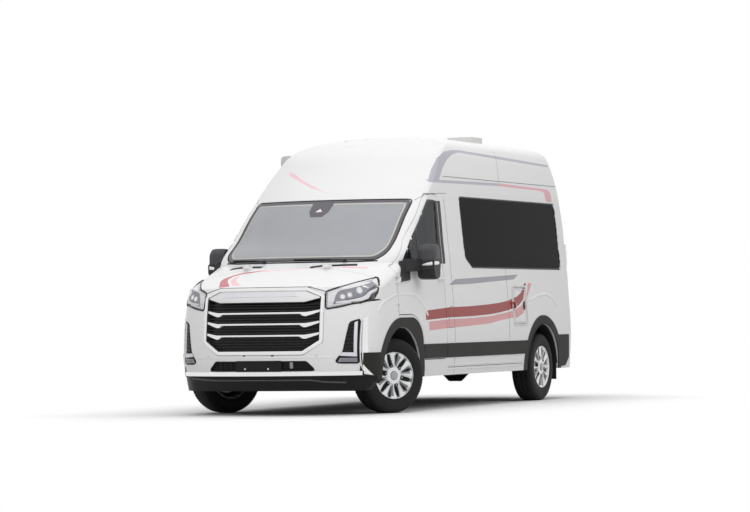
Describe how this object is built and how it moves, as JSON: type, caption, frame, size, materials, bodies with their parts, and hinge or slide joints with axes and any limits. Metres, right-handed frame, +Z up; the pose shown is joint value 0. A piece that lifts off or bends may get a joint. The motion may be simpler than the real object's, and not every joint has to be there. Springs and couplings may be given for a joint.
{
  "type": "high-roof camper van",
  "caption": "High-roof camper van with a bowed nose and wide grille, hollow cab and living space, hinged doors, lids and flap, and steerable rolling wheels.",
  "frame": {"origin": "on the ground under the middle of the van's length and width", "axes": "+X to the vehicle's left, +Y rearward, +Z up"},
  "size_m": [2.43, 5.8501, 2.817],
  "materials": {
    "white_paint": "gloss",
    "screen_glass": "clear",
    "cab_glass": "tinted",
    "dark_glass": "dark privacy tint",
    "lamp_lens": "clear lamp",
    "red_lens": "lamp red",
    "bright_trim": "polished",
    "black_plastic": "grained",
    "cabin_plastic": "grained",
    "underbody_steel": "satin black",
    "black_rubber": "matte",
    "seat_fabric": "woven",
    "cabinet_wood": "satin",
    "vent_plastic": "satin white",
    "tyre": "matte",
    "alloy": "machined"
  },
  "bodies": {
    "root": {"roof_cap": "white_paint", "windscreen": "screen_glass", "headlamps": "lamp_lens", "grille_frame": "bright_trim", "grille_insert": "black_plastic", "front_bumper": "white_paint", "corner_lamps": "black_plastic", "front_skirt": "black_plastic", "front_trim": "bright_trim", "cab_front": "white_paint", "cladding": "black_plastic", "side_glass": "dark_glass", "tail_lamps": "red_lens", "body_side_left": "white_paint", "body_side_right": "white_paint", "sliding_door": "white_paint", "wheel_houses": "underbody_steel", "floor_pan": "underbody_steel", "chassis_rails": "underbody_steel", "cross_members": "underbody_steel", "engine_block": "underbody_steel", "front_suspension": "underbody_steel", "rear_axle": "underbody_steel", "leaf_springs": "underbody_steel", "fuel_tank": "underbody_steel", "exhaust": "underbody_steel", "rear_bumper": "black_plastic", "mud_flaps": "black_rubber", "dashboard": "cabin_plastic", "seats": "seat_fabric", "seat_bases": "underbody_steel", "furniture": "cabinet_wood", "roof_vent": "vent_plastic", "awning_case": "white_paint"},
    "bonnet_panel": {"bonnet": "white_paint"},
    "front_door_left": {"door_left": "white_paint", "door_glass_left": "cab_glass", "door_cladding_left": "black_plastic", "mirror_left": "black_plastic"},
    "front_door_right": {"door_right": "white_paint", "door_glass_right": "cab_glass", "door_cladding_right": "black_plastic", "mirror_right": "black_plastic"},
    "rear_leaf_left": {"rear_door_left": "white_paint", "rear_glass_left": "dark_glass"},
    "rear_leaf_right": {"rear_door_right": "white_paint", "rear_glass_right": "dark_glass"},
    "flap": {"service_flap": "white_paint"},
    "vent_lid": {"roof_vent_lid": "vent_plastic"},
    "steering": {"steering_wheel": "cabin_plastic"},
    "steer_hub_left": {"knuckle_left": "underbody_steel"},
    "steer_hub_right": {"knuckle_right": "underbody_steel"},
    "wheel_front_left": {"tyre_front_left": "tyre", "rim_front_left": "alloy"},
    "wheel_front_right": {"tyre_front_right": "tyre", "rim_front_right": "alloy"},
    "wheel_rear_left": {"tyre_rear_left": "tyre", "rim_rear_left": "alloy"},
    "wheel_rear_right": {"tyre_rear_right": "tyre", "rim_rear_right": "alloy"}
  },
  "joints": [
    {"name": "steer_left", "type": "hinge", "parent": "root", "child": "steer_hub_left", "pos_m": [0.82, -1.885, 0.356], "axis": [0, 0, 1], "range_deg": [-7, 63]},
    {"name": "steer_right", "type": "hinge", "parent": "root", "child": "steer_hub_right", "pos_m": [-0.82, -1.885, 0.356], "axis": [0, 0, 1], "range_deg": [-7, 63]},
    {"name": "steering_turn", "type": "hinge", "parent": "root", "child": "steering", "pos_m": [0.43, -1.275, 1.215], "axis": [0, 0.8829, 0.4695], "range_deg": [-112, 1008]},
    {"name": "spin_front_left", "type": "hinge", "parent": "steer_hub_left", "child": "wheel_front_left", "pos_m": [0.88062, -1.92, 0.356], "axis": [0.866, -0.5, 0], "continuous": true},
    {"name": "spin_front_right", "type": "hinge", "parent": "steer_hub_right", "child": "wheel_front_right", "pos_m": [-0.88062, -1.85, 0.356], "axis": [0.866, -0.5, 0], "continuous": true},
    {"name": "spin_rear_left", "type": "hinge", "parent": "root", "child": "wheel_rear_left", "pos_m": [0.89, 1.875, 0.356], "axis": [1, 0, 0], "continuous": true},
    {"name": "spin_rear_right", "type": "hinge", "parent": "root", "child": "wheel_rear_right", "pos_m": [-0.89, 1.875, 0.356], "axis": [1, 0, 0], "continuous": true},
    {"name": "door_left_swing", "type": "hinge", "parent": "root", "child": "front_door_left", "pos_m": [1.024, -1.941, 1.14], "axis": [0, 0, -1], "range_deg": [0, 70]},
    {"name": "door_right_swing", "type": "hinge", "parent": "root", "child": "front_door_right", "pos_m": [-1.024, -1.941, 1.14], "axis": [0, 0, 1], "range_deg": [0, 70]},
    {"name": "rear_door_left_swing", "type": "hinge", "parent": "root", "child": "rear_leaf_left", "pos_m": [0.854, 2.814, 1.25], "axis": [0, 0, -1], "range_deg": [0, 180]},
    {"name": "rear_door_right_swing", "type": "hinge", "parent": "root", "child": "rear_leaf_right", "pos_m": [-0.854, 2.814, 1.25], "axis": [0, 0, 1], "range_deg": [0, 180]},
    {"name": "bonnet_lift", "type": "hinge", "parent": "root", "child": "bonnet_panel", "pos_m": [0, -2.261, 1.42], "axis": [-1, 0, 0], "range_deg": [0, 50]},
    {"name": "service_flap_swing", "type": "hinge", "parent": "root", "child": "flap", "pos_m": [1.035, 1.034, 1.01], "axis": [0, 0, -1], "range_deg": [0, 120]},
    {"name": "vent_lid_lift", "type": "hinge", "parent": "root", "child": "vent_lid", "pos_m": [0.2, 1.9, 2.7823], "axis": [-1, 0, 0], "range_deg": [0, 60]}
  ],
  "couplings": [
    {"joint": "steer_right", "follows": "steer_left", "ratio": 1},
    {"joint": "steering_turn", "follows": "steer_left", "ratio": 16}
  ]
}
